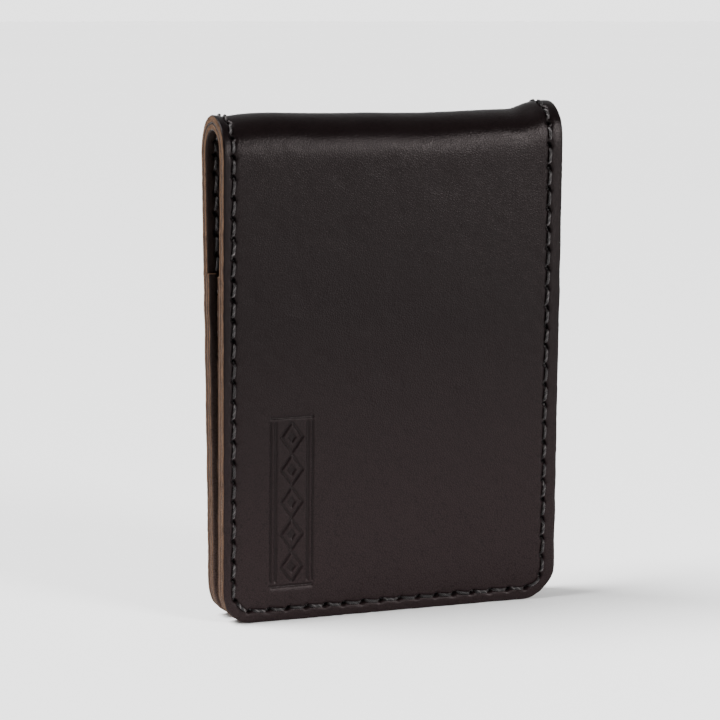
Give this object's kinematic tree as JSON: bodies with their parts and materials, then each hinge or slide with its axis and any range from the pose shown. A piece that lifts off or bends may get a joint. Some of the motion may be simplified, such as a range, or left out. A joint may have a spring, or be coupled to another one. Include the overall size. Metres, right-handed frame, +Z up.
{
  "type": "magnetic money clip",
  "caption": "Folded two-leaf leather money clip, saddle-stitched round its edges, with inner card pockets and hidden magnets that hold it shut.",
  "frame": {"origin": "on the surface that the clip stands on, midway between the free ends of its two leaves and centred across its width", "axes": "+Z up along the leaves to the fold, +X across the width, -Y out of the front leaf's outer face"},
  "size_m": [0.07, 0.0146, 0.098],
  "materials": {
    "outer_leather": "smooth satin, near-black brown",
    "lining_leather": "smooth matt, dark brown",
    "pocket_leather": "smooth satin, dark brown",
    "thread": "waxed twisted thread, dark grey",
    "magnet": "nickel plated"
  },
  "bodies": {
    "back_leaf": {"back_outer_leather": "outer_leather", "back_lining": "lining_leather", "back_card_pocket": "pocket_leather", "back_seam_thread_1": "thread", "back_seam_thread_2": "thread", "back_magnet_left": "magnet", "back_magnet_right": "magnet"},
    "fold_strip_1": {"fold_outer_1": "outer_leather", "fold_lining_1": "lining_leather", "fold_stitch_left_1": "thread", "fold_stitch_right_1": "thread"},
    "fold_strip_2": {"fold_outer_2": "outer_leather", "fold_lining_2": "lining_leather", "fold_stitch_left_2": "thread", "fold_stitch_right_2": "thread"},
    "fold_strip_3": {"fold_outer_3": "outer_leather", "fold_lining_3": "lining_leather", "fold_stitch_left_3": "thread", "fold_stitch_right_3": "thread"},
    "fold_strip_4": {"fold_outer_4": "outer_leather", "fold_lining_4": "lining_leather", "fold_stitch_left_4": "thread", "fold_stitch_right_4": "thread"},
    "fold_strip_5": {"fold_outer_5": "outer_leather", "fold_lining_5": "lining_leather", "fold_stitch_left_5": "thread", "fold_stitch_right_5": "thread"},
    "fold_strip_6": {"fold_outer_6": "outer_leather", "fold_lining_6": "lining_leather", "fold_stitch_left_6": "thread", "fold_stitch_right_6": "thread"},
    "front_leaf": {"front_outer_leather": "outer_leather", "front_lining": "lining_leather", "front_card_pocket": "pocket_leather", "front_seam_thread_1": "thread", "front_seam_thread_2": "thread", "front_magnet_left": "magnet", "front_magnet_right": "magnet"}
  },
  "joints": [
    {"name": "fold_hinge_1", "type": "hinge", "parent": "back_leaf", "child": "fold_strip_1", "pos_m": [0, 0.0073, 0.09051], "axis": [-1, 0, 0], "range_deg": [0, 26], "stiffness_Nm_per_rad": 0.06},
    {"name": "fold_hinge_2", "type": "hinge", "parent": "fold_strip_1", "child": "fold_strip_2", "pos_m": [0, 0.00639, 0.09424], "axis": [-1, 0, 0], "range_deg": [0, 26], "stiffness_Nm_per_rad": 0.06},
    {"name": "fold_hinge_3", "type": "hinge", "parent": "fold_strip_2", "child": "fold_strip_3", "pos_m": [0, 0.00371, 0.09699], "axis": [-1, 0, 0], "range_deg": [0, 26], "stiffness_Nm_per_rad": 0.06},
    {"name": "fold_hinge_4", "type": "hinge", "parent": "fold_strip_3", "child": "fold_strip_4", "pos_m": [0, 0, 0.098], "axis": [-1, 0, 0], "range_deg": [0, 26], "stiffness_Nm_per_rad": 0.06},
    {"name": "fold_hinge_5", "type": "hinge", "parent": "fold_strip_4", "child": "fold_strip_5", "pos_m": [0, -0.00371, 0.09699], "axis": [-1, 0, 0], "range_deg": [0, 26], "stiffness_Nm_per_rad": 0.06},
    {"name": "fold_hinge_6", "type": "hinge", "parent": "fold_strip_5", "child": "fold_strip_6", "pos_m": [0, -0.00639, 0.09424], "axis": [-1, 0, 0], "range_deg": [0, 26], "stiffness_Nm_per_rad": 0.06},
    {"name": "fold_hinge_7", "type": "hinge", "parent": "fold_strip_6", "child": "front_leaf", "pos_m": [0, -0.0073, 0.09051], "axis": [-1, 0, 0], "range_deg": [0, 26], "stiffness_Nm_per_rad": 0.06}
  ],
  "couplings": [
    {"joint": "fold_hinge_2", "follows": "fold_hinge_1", "ratio": 1},
    {"joint": "fold_hinge_3", "follows": "fold_hinge_1", "ratio": 1},
    {"joint": "fold_hinge_4", "follows": "fold_hinge_1", "ratio": 1},
    {"joint": "fold_hinge_5", "follows": "fold_hinge_1", "ratio": 1},
    {"joint": "fold_hinge_6", "follows": "fold_hinge_1", "ratio": 1},
    {"joint": "fold_hinge_7", "follows": "fold_hinge_1", "ratio": 1}
  ]
}
